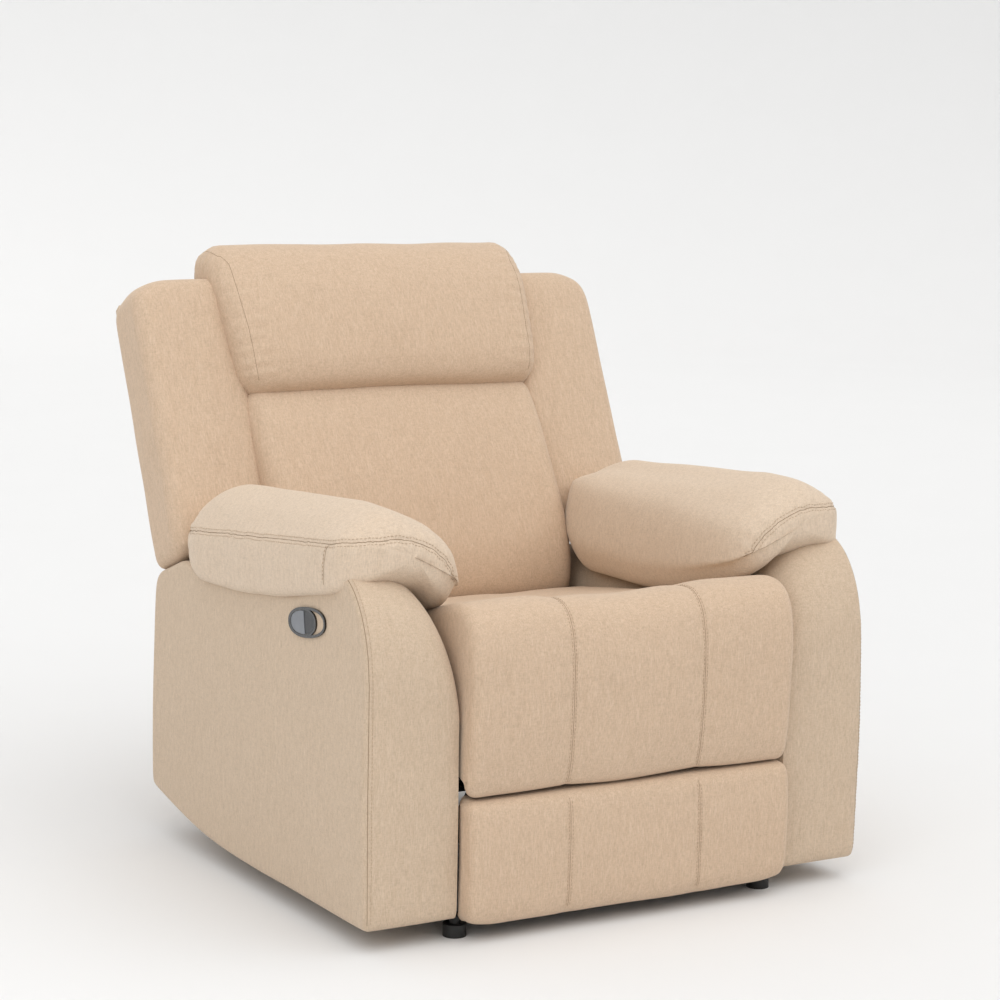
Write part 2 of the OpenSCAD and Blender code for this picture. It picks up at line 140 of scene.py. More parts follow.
def make_world(strength):
    """An even pale surround."""
    world = bpy.data.worlds.new("studio")
    world.use_nodes = True
    background = world.node_tree.nodes["Background"]
    background.inputs["Color"].default_value = (1, 1, 1, 1)
    background.inputs["Strength"].default_value = strength
    bpy.context.scene.world = world


make_camera()
make_world(0.82)
make_sun("key", (0.12, -0.42, 0.90), 1.24, 80, (1.0, 0.99, 0.97))
make_light("left_fill", (-3.0, -2.6, 2.6), (0, 0, 0.5), 2.4, 26, (0.97, 0.99, 1.0))
bpy.context.scene.view_settings.view_transform = "Standard"

# ------------------------------------------------------------------ materials


class Nodes:
    """A short way to write a node material."""

    def __init__(self, name):
        self.material = bpy.data.materials.new(name)
        self.material.use_nodes = True
        self.tree = self.material.node_tree
        self.shader = self.tree.nodes["Principled BSDF"]

    def add(self, kind, **settings):
        node = self.tree.nodes.new(kind)
        for key, value in settings.items():
            if hasattr(node, key):
                setattr(node, key, value)
            else:
                node.inputs[key.replace("_", " ")].default_value = value
        return node

    def link(self, source, target):
        self.tree.links.new(source, target)

    def stretched(self, scale, lean=0.0):
        """Object coordinates, turned back by a lean and stretched by a scale on each axis."""
        where = self.add("ShaderNodeTexCoord")
        turned = self.add("ShaderNodeMapping")
        turned.inputs["Rotation"].default_value = (lean, 0, 0)
        self.link(where.outputs["Object"], turned.inputs["Vector"])
        mapping = self.add("ShaderNodeMapping")
        mapping.inputs["Scale"].default_value = scale
        self.link(turned.outputs["Vector"], mapping.inputs["Vector"])
        return mapping.outputs["Vector"]

    def noise(self, vector, scale, detail=2.0, roughness=0.5):
        """A noise texture's value."""
        texture = self.add("ShaderNodeTexNoise")
        texture.inputs["Scale"].default_value = scale
        texture.inputs["Detail"].default_value = detail
        texture.inputs["Roughness"].default_value = roughness
        self.link(vector, texture.inputs["Vector"])
        return texture.outputs["Fac"]

    def ramp(self, value, stops):
        """A colour ramp over a value."""
        ramp = self.add("ShaderNodeValToRGB")
        elements = ramp.color_ramp.elements
        while len(elements) < len(stops):
            elements.new(0.5)
        for element, (place, colour) in zip(elements, stops):
            element.position = place
            element.color = (*colour, 1)
        self.link(value, ramp.inputs["Fac"])
        return ramp.outputs["Color"]

    def mix(self, amount, a, b, blend="MIX"):
        """Mixes two colours by an amount, which may be a number or a socket."""
        mix = self.add("ShaderNodeMix", data_type="RGBA", blend_type=blend)
        for source, socket in ((amount, mix.inputs[0]), (a, mix.inputs[6]), (b, mix.inputs[7])):
            if isinstance(source, bpy.types.NodeSocket):
                self.link(source, socket)
            else:
                socket.default_value = source if isinstance(source, float) else (*source, 1)
        return mix.outputs[2]

    def math(self, operation, a, b):
        """One arithmetic step on two values."""
        step = self.add("ShaderNodeMath", operation=operation)
        for source, socket in ((a, step.inputs[0]), (b, step.inputs[1])):
            if isinstance(source, bpy.types.NodeSocket):
                self.link(source, socket)
            else:
                socket.default_value = source
        return step.outputs[0]

    def bump(self, height, distance, strength=1.0):
        """Relief on the shader's normal."""
        bump = self.add("ShaderNodeBump")
        bump.inputs["Distance"].default_value = distance
        bump.inputs["Strength"].default_value = strength
        self.link(height, bump.inputs["Height"])
        self.link(bump.outputs["Normal"], self.shader.inputs["Normal"])

    def set(self, **sockets):
        """Sets plain values on the shader's own sockets."""
        for key, value in sockets.items():
            self.shader.inputs[key.replace("_", " ")].default_value = value


def shade(colour, factor):
    """A colour made lighter or darker."""
    return tuple(min(1.0, c * factor) for c in colour)


def fabric(name, base, fleck=1.0, lean=0.0):
    """Chenille melange: fine crossed threads with light vertical slubs and a faint mottle."""
    n = Nodes(name)
    warp = n.noise(n.stretched((1.0, 1.0, 0.20), lean), 700.0, 2.0, 0.6)
    weft = n.noise(n.stretched((0.20, 0.20, 1.0), lean), 640.0, 2.0, 0.6)
    slub = n.noise(n.stretched((1.0, 1.0, 0.13), lean), 420.0, 2.0, 0.6)
    streak = n.noise(n.stretched((1.0, 1.0, 0.30), lean), 130.0, 3.0, 0.6)
    threads = n.math("ADD", n.math("MULTIPLY", warp, 0.62), n.math("MULTIPLY", weft, 0.38))
    ground = n.ramp(threads, [(0.34, shade(base, 0.86)), (0.5, base), (0.68, shade(base, 1.12))])
    light = n.ramp(slub, [(0.53, (0, 0, 0)), (0.70, (1, 1, 1))])
    pale = shade((base[0] * 1.12, base[1] * 1.16, base[2] * 1.22), 1.06)
    flecked = n.mix(n.math("MULTIPLY", light, 0.46 * fleck), ground, pale)
    cloudy = n.ramp(streak, [(0.3, (0.945, 0.935, 0.92)), (0.58, (1.0, 1.0, 1.0))])
    n.link(n.mix(1.0, flecked, cloudy, "MULTIPLY"), n.shader.inputs["Base Color"])
    n.link(n.ramp(threads, [(0.3, (0.96,) * 3), (0.7, (0.84,) * 3)]), n.shader.inputs["Roughness"])
    relief = n.math("ADD", threads, n.math("MULTIPLY", slub, 0.7))
    n.bump(relief, 0.0008, 0.6)
    n.set(Sheen_Weight=0.28, Sheen_Roughness=0.45, Specular_IOR_Level=0.18)
    n.shader.inputs["Sheen Tint"].default_value = (1.0, 0.94, 0.84, 1)
    return n.material


def stitch_thread_and_seam_shade(name, colour):
    """Twisted sewing yarn for the stitches, and the material of the dark line of painted shade along each seam."""
    n = Nodes(name)
    twist = n.noise(n.stretched((1, 1, 1)), 1800.0, 1.0)
    n.link(n.ramp(twist, [(0.3, shade(colour, 0.8)), (0.7, shade(colour, 1.15))]),
           n.shader.inputs["Base Color"])
    n.bump(twist, 0.0002, 0.6)
    n.set(Roughness=0.7)
    return n.material


def metal(name, colour, roughness, metallic=1.0, brush=(1.0, 1.0, 1.0)):
    """Coated or bare metal with a fine uneven finish."""
    n = Nodes(name)
    grain = n.noise(n.stretched(brush), 160.0, 4.0, 0.6)
    wear = n.noise(n.stretched((1, 1, 1)), 14.0, 5.0, 0.6)
    n.link(n.ramp(wear, [(0.3, shade(colour, 0.88)), (0.7, shade(colour, 1.12))]),
           n.shader.inputs["Base Color"])
    n.link(n.ramp(grain, [(0.3, (roughness * 0.85,) * 3), (0.7, (min(1, roughness * 1.2),) * 3)]),
           n.shader.inputs["Roughness"])
    n.bump(grain, 0.0002, 0.35)
    n.set(Metallic=metallic)
    return n.material


def wood(name, colour):
    """Sawn softwood with growth lines along its length."""
    n = Nodes(name)
    wobble = n.noise(n.stretched((1, 1, 1)), 7.0, 3.0)
    rings = n.add("ShaderNodeTexWave", wave_type="BANDS", bands_direction="X")
    rings.inputs["Scale"].default_value = 34.0
    rings.inputs["Distortion"].default_value = 5.0
    rings.inputs["Detail"].default_value = 3.0
    n.link(n.stretched((1.0, 0.3, 0.3)), rings.inputs["Vector"])
    grain = n.math("ADD", n.math("MULTIPLY", rings.outputs["Fac"], 0.7),
                   n.math("MULTIPLY", wobble, 0.3))
    n.link(n.ramp(grain, [(0.2, shade(colour, 0.72)), (0.6, colour), (0.9, shade(colour, 1.16))]),
           n.shader.inputs["Base Color"])
    n.bump(grain, 0.0004, 0.5)
    n.set(Roughness=0.72)
    return n.material


def plastic(name, colour, roughness, texture=0.00012, coat=0.0):
    """Moulded plastic with a fine spark-eroded grain."""
    n = Nodes(name)
    grain = n.noise(n.stretched((1, 1, 1)), 900.0, 2.0)
    cloud = n.noise(n.stretched((1, 1, 1)), 30.0, 3.0)
    n.link(n.ramp(cloud, [(0.3, shade(colour, 0.9)), (0.7, shade(colour, 1.1))]),
           n.shader.inputs["Base Color"])
    n.link(n.ramp(grain, [(0.3, (roughness * 0.85,) * 3), (0.7, (min(1, roughness * 1.15),) * 3)]),
           n.shader.inputs["Roughness"])
    n.bump(grain, texture, 0.5)
    n.set(Coat_Weight=coat, Coat_Roughness=0.12)
    return n.material


SAND = (0.600, 0.447, 0.321)
MATERIALS = {
    "cushion_fabric": fabric("cushion_fabric", SAND),
    "casing_fabric": fabric("casing_fabric", (0.585, 0.455, 0.335), 0.9),
    "pad_fabric": fabric("pad_fabric", (0.660, 0.528, 0.405), 0.8),
    "timber": wood("timber", (0.47, 0.30, 0.15)),
    "mechanism_steel": metal("mechanism_steel", (0.018, 0.018, 0.02), 0.42, 0.0),
    "rivet_steel": metal("rivet_steel", (0.52, 0.52, 0.53), 0.34),
    "webbing": fabric("webbing", (0.10, 0.085, 0.07), 0.5),
    "rail_aluminium": metal("rail_aluminium", (0.58, 0.59, 0.61), 0.33, 1.0, (1.0, 0.05, 1.0)),
    "drive_plastic": plastic("drive_plastic", (0.016, 0.016, 0.018), 0.55),
    "control_gloss": plastic("control_gloss", (0.006, 0.006, 0.007), 0.25, 0.00004, 0.4),
    "control_satin": plastic("control_satin", (0.035, 0.036, 0.038), 0.38),
    "control_grey": plastic("control_grey", (0.20, 0.21, 0.23), 0.40),
    "glide_plastic": plastic("glide_plastic", (0.01, 0.01, 0.01), 0.5),
}
LEANING_FABRIC = fabric("cushion_fabric_back", SAND, lean=LEAN)
SEAM_THREAD = stitch_thread_and_seam_shade("seam_thread", (0.50, 0.37, 0.255))
# The colour of the dark tube of painted shade laid along each seam's groove.
SEAM_SHADE = stitch_thread_and_seam_shade("seam_shade", (0.30, 0.205, 0.13))


def dress_frame():
    """Gives every CAD node its slot's procedural material."""
    slots = {row["node"]: row["material_slot"] for row in frame["record"]["subparts"]}
    for name, piece in frame["nodes"].items():
        piece.data.materials.clear()
        piece.data.materials.append(MATERIALS[slots[name]])


dress_frame()

# ------------------------------------------------------------------ mesh helpers


def make_mesh(name, points, faces, material, smooth=True):
    """A mesh object from millimetre points."""
    mesh = bpy.data.meshes.new(name)
    mesh.from_pydata((np.asarray(points) * MM).tolist(), [], faces)
    mesh.validate()
    mesh.materials.append(material)
    mesh.polygons.foreach_set("use_smooth", [smooth] * len(mesh.polygons))
    piece = bpy.data.objects.new(name, mesh)
    bpy.context.scene.collection.objects.link(piece)
    return piece


def loft(name, rings, material):
    """A closed surface through rings of points, closed by a fan at each end."""
    rings = np.asarray(rings, float)
    count, around = rings.shape[:2]
    points = rings.reshape(-1, 3)
    first = points[:around].mean(axis=0)
    last = points[-around:].mean(axis=0)
    faces = []
    for i in range(count - 1):
        for j in range(around):
            k = (j + 1) % around
            faces.append((i * around + j, i * around + k, (i + 1) * around + k, (i + 1) * around + j))
    start, end = len(points), len(points) + 1
    for j in range(around):
        k = (j + 1) % around
        faces.append((start, k, j))
        faces.append((end, (count - 1) * around + j, (count - 1) * around + k))
    piece = make_mesh(name, np.vstack([points, first, last]), faces, material)
    fix_normals(piece)
    return piece


def fix_normals(piece):
    """Turns a closed mesh's faces outward."""
    work = bmesh.new()
    work.from_mesh(piece.data)
    bmesh.ops.recalc_face_normals(work, faces=work.faces)
    work.to_mesh(piece.data)
    work.free()


def hand(side):
    """The name of a side of the chair, seen from its front."""
    return "right" if side > 0 else "left"


def smooth_outline(corners, count):
    """Evenly spaced points on a closed smooth curve through corner points."""
    corners = np.asarray(corners, float)
    n = len(corners)
    curve = []
    for i in range(n):
        p0, p1, p2, p3 = (corners[(i + k) % n] for k in (-1, 0, 1, 2))
        for t in np.linspace(0, 1, 24, endpoint=False):
            curve.append(0.5 * (2 * p1 + (p2 - p0) * t + (2 * p0 - 5 * p1 + 4 * p2 - p3) * t * t
                                + (3 * p1 - p0 - 3 * p2 + p3) * t ** 3))
    return resample(np.array(curve), count, True)


def resample(curve, count, closed):
    """Evenly spaced points along a polyline."""
    if closed:
        curve = np.vstack([curve, curve[:1]])
    steps = np.r_[0, np.cumsum(np.linalg.norm(np.diff(curve, axis=0), axis=1))]
    wanted = np.linspace(0, steps[-1], count, endpoint=not closed)
    return np.stack([np.interp(wanted, steps, curve[:, k]) for k in range(curve.shape[1])], axis=1)


def inset(outline, amount):
    """Moves a closed outline, given anticlockwise, inwards along its normals."""
    ahead = np.roll(outline, -1, axis=0) - np.roll(outline, 1, axis=0)
    normal = np.stack([-ahead[:, 1], ahead[:, 0]], axis=1)
    normal /= np.maximum(np.linalg.norm(normal, axis=1, keepdims=True), 1e-9)
    return outline + normal * amount


def anticlockwise(outline):
    """The outline in anticlockwise order."""
    x, y = outline[:, 0], outline[:, 1]
    area = np.sum(x * np.roll(y, -1) - np.roll(x, -1) * y)
    return outline if area > 0 else outline[::-1]


def soften(outline, times):
    """Rounds the corners of an evenly spaced closed outline."""
    for _ in range(times):
        outline = 0.5 * outline + 0.25 * (np.roll(outline, 1, axis=0) + np.roll(outline, -1, axis=0))
    return outline


def end_stations(half, radius, middle, steps=7):
    """Places across a piece with their inset, close together at its rounded ends."""
    angles = np.linspace(0, math.pi / 2, steps)
    ends = [(half - radius + radius * math.sin(a), radius * (1 - math.cos(a))) for a in angles]
    inner = [(x, 0.0) for x in np.linspace(-(half - radius), half - radius, middle)]
    left = [(-x, d) for x, d in reversed(ends[1:])]
    return left + inner + ends[1:]


def across(name, outline, half, radius, material, middle=60, caps=12, cap_depth=0.95):
    """A piece of constant [y, z] outline across the chair, with rounded padded ends.

    The outline's corners are rounded more as an end is drawn in, so that it never folds.
    """
    outline = anticlockwise(np.asarray(outline))
    stations = end_stations(half, radius, middle)
    centre = outline.mean(axis=0)
    rings = []
    spacing = polyline_length(outline) / len(outline)
    for x, depth in stations:
        ring = inset(soften(outline, round(2 * (0.8 * depth / spacing) ** 2)), depth)
        rings.append(np.column_stack([np.full(len(ring), x), ring]))
    for side in (0, -1):
        rim = rings[side]
        x = rim[0, 0]
        for step in range(1, caps + 1):
            share = 1 - cap_depth * step / caps
            ring = centre + (rim[:, 1:] - centre) * share
            bulge = math.copysign(2.0 * (1 - share), x)
            extra = np.column_stack([np.full(len(ring), x + bulge), ring])
            rings.insert(0, extra) if side == 0 else rings.append(extra)
    return loft(name, rings, material)


def coordinates(piece):
    """A piece's points in millimetres."""
    flat = np.empty(len(piece.data.vertices) * 3)
    piece.data.vertices.foreach_get("co", flat)
    return flat.reshape(-1, 3) / MM


def normals(piece):
    """A piece's point normals."""
    flat = np.empty(len(piece.data.vertices) * 3)
    piece.data.vertices.foreach_get("normal", flat)
    return flat.reshape(-1, 3)


def place(piece, points):
    """Moves a piece's points, given in millimetres."""
    piece.data.vertices.foreach_set("co", (np.asarray(points) * MM).ravel())
    piece.data.update()


def back_to_world(points):
    """From the backrest's own frame (x, thickness, up the back) to the chair's frame."""
    points = np.asarray(points, float)
    c, s = math.cos(LEAN), math.sin(LEAN)
    y = RECLINE[1] + points[:, 1] * c + points[:, 2] * s
    z = RECLINE[2] - points[:, 1] * s + points[:, 2] * c
    return np.column_stack([points[:, 0], y, z])


def ripple(points, size, seed):
    """Smooth noise from -1 to 1 at each point."""
    shift = Vector((seed * 17.3, seed * 5.1, seed * 9.7))
    return np.array([value_noise(Vector(p) / size + shift) for p in points])


def relax_surface(piece, amount, size, seed):
    """Soft unevenness of filled fabric along a piece's normals."""
    points = coordinates(piece)
    place(piece, points + normals(piece) * (ripple(points, size, seed) * amount)[:, None])


def near_line(points, line):
    """Distance of each point from a polyline, and how far along it the nearest place is."""
    best = np.full(len(points), 1e9)
    along = np.zeros(len(points))
    run = 0.0
    for a, b in zip(line[:-1], line[1:]):
        d = b - a
        length = np.linalg.norm(d)
        if length < 1e-9:
            continue
        t = np.clip((points - a) @ d / length ** 2, 0, 1)
        gap = np.linalg.norm(points - (a + t[:, None] * d), axis=1)
        closer = gap < best
        best[closer] = gap[closer]
        along[closer] = (run + t * length)[closer]
        run += length
    return best, along


def groove(piece, line, depth, width, pucker=0.0, pitch=22.0, reach=34.0, seed=1.0):
    """Draws the fabric in along a seam line and gathers it a little beside the seam."""
    points = coordinates(piece)
    gap, along = near_line(points, np.asarray(line))
    dip = depth * np.exp(-(gap / width) ** 2)
    if pucker:
        wobble = np.sin(along / pitch * 2 * math.pi + 2.2 * np.sin(along / 61.0 + seed))
        fade = np.exp(-(gap / reach) ** 2) * (1 - np.exp(-(gap / 5.0) ** 2))
        dip += pucker * wobble * fade
    place(piece, points - normals(piece) * dip[:, None])


def surface_of(piece):
    """A search tree of a piece's surface, in millimetres."""
    piece.data.update()
    faces = [tuple(p.vertices) for p in piece.data.polygons]
    return BVHTree.FromPolygons([tuple(p) for p in coordinates(piece)], faces)


def snap(tree, line, lift=0.0):
    """Puts a line's points on a surface, with the surface normal at each."""
    placed, out = [], []
    for p in line:
        spot, normal, _, _ = tree.find_nearest(Vector(p))
        placed.append(np.array(spot) + np.array(normal) * lift)
        out.append(np.array(normal))
    return np.array(placed), np.array(out)


def tube(name, line, radius, material, sides=6):
    """A thin tube along a line."""
    line = np.asarray(line, float)
    ahead = np.gradient(line, axis=0)
    ahead /= np.maximum(np.linalg.norm(ahead, axis=1, keepdims=True), 1e-9)
    up = np.cross(ahead[0], (0.3, 0.5, 0.8))
    rings = []
    for p, d in zip(line, ahead):
        side = up - d * np.dot(up, d)
        side /= max(np.linalg.norm(side), 1e-9)
        up = side
        other = np.cross(d, side)
        rings.append([p + radius * (math.cos(a) * side + math.sin(a) * other)
                      for a in np.arange(sides) * 2 * math.pi / sides])
    return loft(name, rings, material)


# Rings along a stitch: place along it, size and lift as shares of its radius.
STITCH_RINGS = ((0.0, 0.35, -0.2), (0.25, 1.0, 0.35), (0.75, 1.0, 0.35), (1.0, 0.35, -0.2))


def stitches(name, line, out, material, length=4.2, gap=2.0, radius=0.55):
    """A row of sewn stitches lying on a surface."""
    line = np.asarray(line, float)
    steps = np.r_[0, np.cumsum(np.linalg.norm(np.diff(line, axis=0), axis=1))]

    def at(s):
        return np.array([np.interp(s, steps, line[:, k]) for k in range(3)])

    def facing(s):
        v = np.array([np.interp(s, steps, out[:, k]) for k in range(3)])
        return v / max(np.linalg.norm(v), 1e-9)

    points, faces = [], []
    s = gap
    while s + length < steps[-1]:
        a, b, n = at(s), at(s + length), facing(s + length / 2)
        d = (b - a) / max(np.linalg.norm(b - a), 1e-9)
        side = np.cross(d, n)
        first = len(points)
        for share, size, rise in STITCH_RINGS:
            middle = a + (b - a) * share + n * (rise * radius)
            for angle in (0, 60, 120, 180, 240, 300):
                turn = math.radians(angle)
                points.append(middle + radius * size * (math.cos(turn) * side + math.sin(turn) * n))
        for ring in range(3):
            for j in range(6):
                k = (j + 1) % 6
                base = first + ring * 6
                faces.append((base + j, base + k, base + 6 + k, base + 6 + j))
        faces.append(tuple(first + j for j in range(5, -1, -1)))
        faces.append(tuple(first + 18 + j for j in range(6)))
        s += length + gap
    return make_mesh(name, points, faces, material)


def seam(piece, body, name, line, depth=3.0, width=5.0, pucker=0.0, rows=(6.0,), shade_line_radius=0.9,
         pitch=22.0, seed=1.0):
    """A sewn seam on a piece: a drawn-in line, a dark tube of painted shade along it and rows of top stitching
    beside it.
    """
    line = resample(np.asarray(line, float), max(24, int(polyline_length(line) / 5)), False)
    on_surface, _ = snap(surface_of(piece), line)
    groove(piece, on_surface, depth, width, pucker, pitch, seed=seed)
    tree = surface_of(piece)
    placed, out = snap(tree, on_surface, 0.0)
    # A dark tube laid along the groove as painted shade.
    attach(tube(name + "_seam_shade_line", placed, shade_line_radius, SEAM_SHADE), body)
    ahead = np.gradient(placed, axis=0)
    for number, offset in enumerate(rows):
        side = np.cross(ahead, out)
        side /= np.maximum(np.linalg.norm(side, axis=1, keepdims=True), 1e-9)
        row, row_out = snap(tree, placed + side * offset, 0.25)
        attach(stitches(f"{name}_stitch_{number}", row, row_out, SEAM_THREAD), body)


def polyline_length(line):
    """Length of a polyline."""
    return float(np.linalg.norm(np.diff(np.asarray(line), axis=0), axis=1).sum())


def bump_between(value, low, high):
    """1 in the middle of a range, falling smoothly to 0 at its ends."""
    t = np.clip((value - low) / (high - low), 0, 1)
    return np.sin(math.pi * t)


# ------------------------------------------------------------------ arms


def arm_height(x):
    """Height of the arm's top at a distance from the chair's middle."""
    reach_in = (ARM_OUT - 10) - x
    span = (ARM_OUT - 10) - ARM_IN
    share = np.clip(reach_in / span, 0, 1)
    return ARM_INNER_TOP + (ARM_TOP - 2 - ARM_INNER_TOP) * (1 - share ** 2.5) ** 0.4


def arm_outline():
    """The side of an arm in [y, z], anticlockwise from its bottom front corner."""
    sweep = [(-60 + (ARM_REAR + 60) * t, SKIRT + 49 * t * t) for t in np.linspace(0, 1, 14)]
    rear = [(ARM_REAR - 2, 160), (ARM_REAR - 8, 300), (ARM_REAR - 14, 440), (ARM_REAR - 22, 462)]
    top = [(200, 498), (60, 494), (-100, 500), (-240, 514), (-300, 532), (-335, 557)]
    arch = [(-370 - 111 * math.sin(a), 416 + 159 * math.cos(a)) for a in np.linspace(0, math.pi / 2, 22)]
    front = [(ARM_FRONT, 300), (ARM_FRONT, 160), (ARM_FRONT, SKIRT)]
    bottom = [(-300, SKIRT)]
    return soften(resample(np.array(bottom + sweep + rear + top + arch + front), 380, True), 7)


def arm_casing(side):
    """The upholstered casing of one arm: a flat side panel and a front panel rolled over the arch."""
    outline = anticlockwise(arm_outline())
    body = "base"
    rings = []
    centre = np.array([-80.0, 280.0])
    shoulder = 250
    edge = 11.0
    belly = 4.0
    belly_height = 420

    def ring(x, depth):
        shape = inset(outline, depth)
        y, z = shape[:, 0].copy(), shape[:, 1].copy()
        tall = z > shoulder
        drop = (arm_height(x) - shoulder) / (arm_height(ARM_OUT) - shoulder)
        z[tall] = shoulder + (z[tall] - shoulder) * drop
        share = (x - ARM_IN) / (ARM_OUT - ARM_IN)
        crown = 5.0 * (1 - (2 * share - 1) ** 4) * bump_between(z, SKIRT, 760)
        front = np.clip((-380 - y) / 80, 0, 1)
        y -= crown * front * np.clip((z - SKIRT) / 40, 0, 1)
        out = belly * np.sin(np.clip((z - SKIRT) / belly_height, 0, 1) * math.pi) * share
        return np.column_stack([np.full(len(y), x) + out, y, z])

    for share in np.linspace(0.03, 0.98, 40):
        shape = centre + (inset(outline, edge) - centre) * share
        out = belly * np.sin(np.clip((shape[:, 1] - SKIRT) / belly_height, 0, 1) * math.pi)
        rings.append(np.column_stack([ARM_OUT + out, shape]))
    for a in np.linspace(0, math.pi / 2, 7):
        rings.append(ring(ARM_OUT - edge * (1 - math.cos(a)), edge * (1 - math.sin(a))))
    for share in np.linspace(0.08, 1, 26):
        reach = (ARM_OUT - edge - ARM_IN - 1) * math.sin(share * math.pi / 2)
        rings.append(ring(ARM_OUT - edge - reach, 0.0))
    inner = rings[-1]
    middle = inner.mean(axis=0)
    for share in (0.8, 0.6, 0.4, 0.2):
        rings.append(middle + (inner - middle) * share)
    rings = np.array(rings)
    rings[:, :, 0] *= side
    name = "casing_" + hand(side)
    piece = loft(name, rings, MATERIALS["casing_fabric"])
    relax_surface(piece, 1.3, 150, 3 + side)
    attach(piece, body)
    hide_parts("arm_shell_right" if side > 0 else "arm_shell_left")
    path = [p for p in outline if p[0] < -330 and p[1] > SKIRT + 12]
    path = sorted(path, key=lambda p: math.atan2(p[1] - 300, -(p[0] + 300)))
    line = np.array([(side * (ARM_OUT - 3.0), p[0] + 3.0, p[1] - 2.0) for p in path])
    seam(piece, body, name + "_corner", line, depth=1.2, width=4.0, pucker=0.4, rows=(6.0,),
         shade_line_radius=0.5, pitch=31)
    return piece


def pad_section(t):
    """An arm pad's place, bottom, top and seam height at a share t of the way from back to front."""
    rear_y, front_y = 236.0, -432.0
    y = rear_y + (front_y - rear_y) * t
    bottom = np.interp(t, [0, 0.06, 0.12, 0.2, 0.4, 0.6, 0.75, 0.88, 1],
                       [536, 516, 499, 491, 496, 510, 527, 544, 562])
    top = np.interp(t, [0, 0.1, 0.2, 0.5, 0.8, 0.92, 1], [612, 626, 636, 650, 663, 661, 652])
    edge = np.interp(t, [0, 0.4, 0.9, 1], [551, 577, 613, 624])
    return y, bottom, top, edge


def arm_pad(side):
    """The filled rest on an arm: a crowned top panel, boxed on its outer side and front."""
    rings = []
    body = "base"
    count = 64
    places = 0.5 - 0.5 * np.cos(np.linspace(0, math.pi, count))
    for t in places:
        y, bottom, top, edge = pad_section(t)
        inner = np.interp(t, [0, 0.12, 0.25, 0.6, 0.85, 1], [282, 270, 262, 260, 250, 254])
        low_in = np.interp(t, [0, 0.1, 0.2, 0.5, 0.65, 0.8, 0.9, 1],
                           [484, 456, 443, 444, 455, 480, 500, 520])
        corners = [(464, bottom - 12), (473, bottom + 0.24 * (edge - bottom)), (471, edge - 9),
                   (461, edge + 9), (432, edge + 0.66 * (top - edge)), (386, top), (340, top - 14),
                   (300, 0.64 * top + 0.36 * PAD_MIDDLE), (inner + 12, 0.27 * top + 0.73 * PAD_MIDDLE),
                   (inner - 1, 0.54 * PAD_MIDDLE + 0.46 * low_in), (inner + 6, low_in + 26),
                   (inner + 24, low_in), (inner + 46, low_in + 2), (330, low_in + 24),
                   (358, low_in + 30), (405, bottom - 10)]
        shape = anticlockwise(smooth_outline(corners, 120))
        lip = min(1.0, t / 0.24) if t < 0.5 else min(1.0, (1 - t) / 0.13)
        power = 2.3 if t < 0.5 else 2.8
        close = (1 - (1 - lip) ** power) ** (1 / power) if lip < 1 else 1.0
        height = 0.55 * top + 0.45 * low_in if t > 0.5 else 0.5 * (top + bottom)
        middle = np.array([(461 + inner) / 2, height])
        shape = middle + (shape - middle) * max(close, 0.02)
        rings.append(np.column_stack([shape[:, 0] * side, np.full(len(shape), y), shape[:, 1]]))
    name = "pad_" + hand(side)
    piece = loft(name, rings, MATERIALS["pad_fabric"])
    relax_surface(piece, 2.2, 95, 11 + side)
    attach(piece, body)
    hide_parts("arm_pad_right" if side > 0 else "arm_pad_left")
    outer = [(474, y, np.interp(y, [-371, 0, 236], [614, 577, 552])) for y in np.linspace(225, -371, 30)]
    front = [(452, -410, 620), (425, -434, 628), (390, -440, 628), (350, -440, 622), (318, -438, 607),
             (292, -434, 585), (272, -428, 560), (262, -418, 538)]
    mirror = np.array([side, 1, 1])
    seam(piece, body, name + "_edge", np.vstack([outer, front]) * mirror, depth=2.2, width=4.5, pucker=1.1,
         rows=(5.5, -5.5), shade_line_radius=0.55, pitch=26, seed=2 + side)
    drop = np.array([(469, -362, 609), (469, -360, 590), (467, -357, 570), (462, -354, 548)])
    seam(piece, body, name + "_join", drop * mirror, depth=1.2, width=4.0, rows=(4.0,), shade_line_radius=0.5)
    return piece


# ------------------------------------------------------------------ seat and footrest

CHANNEL_X = 121.0


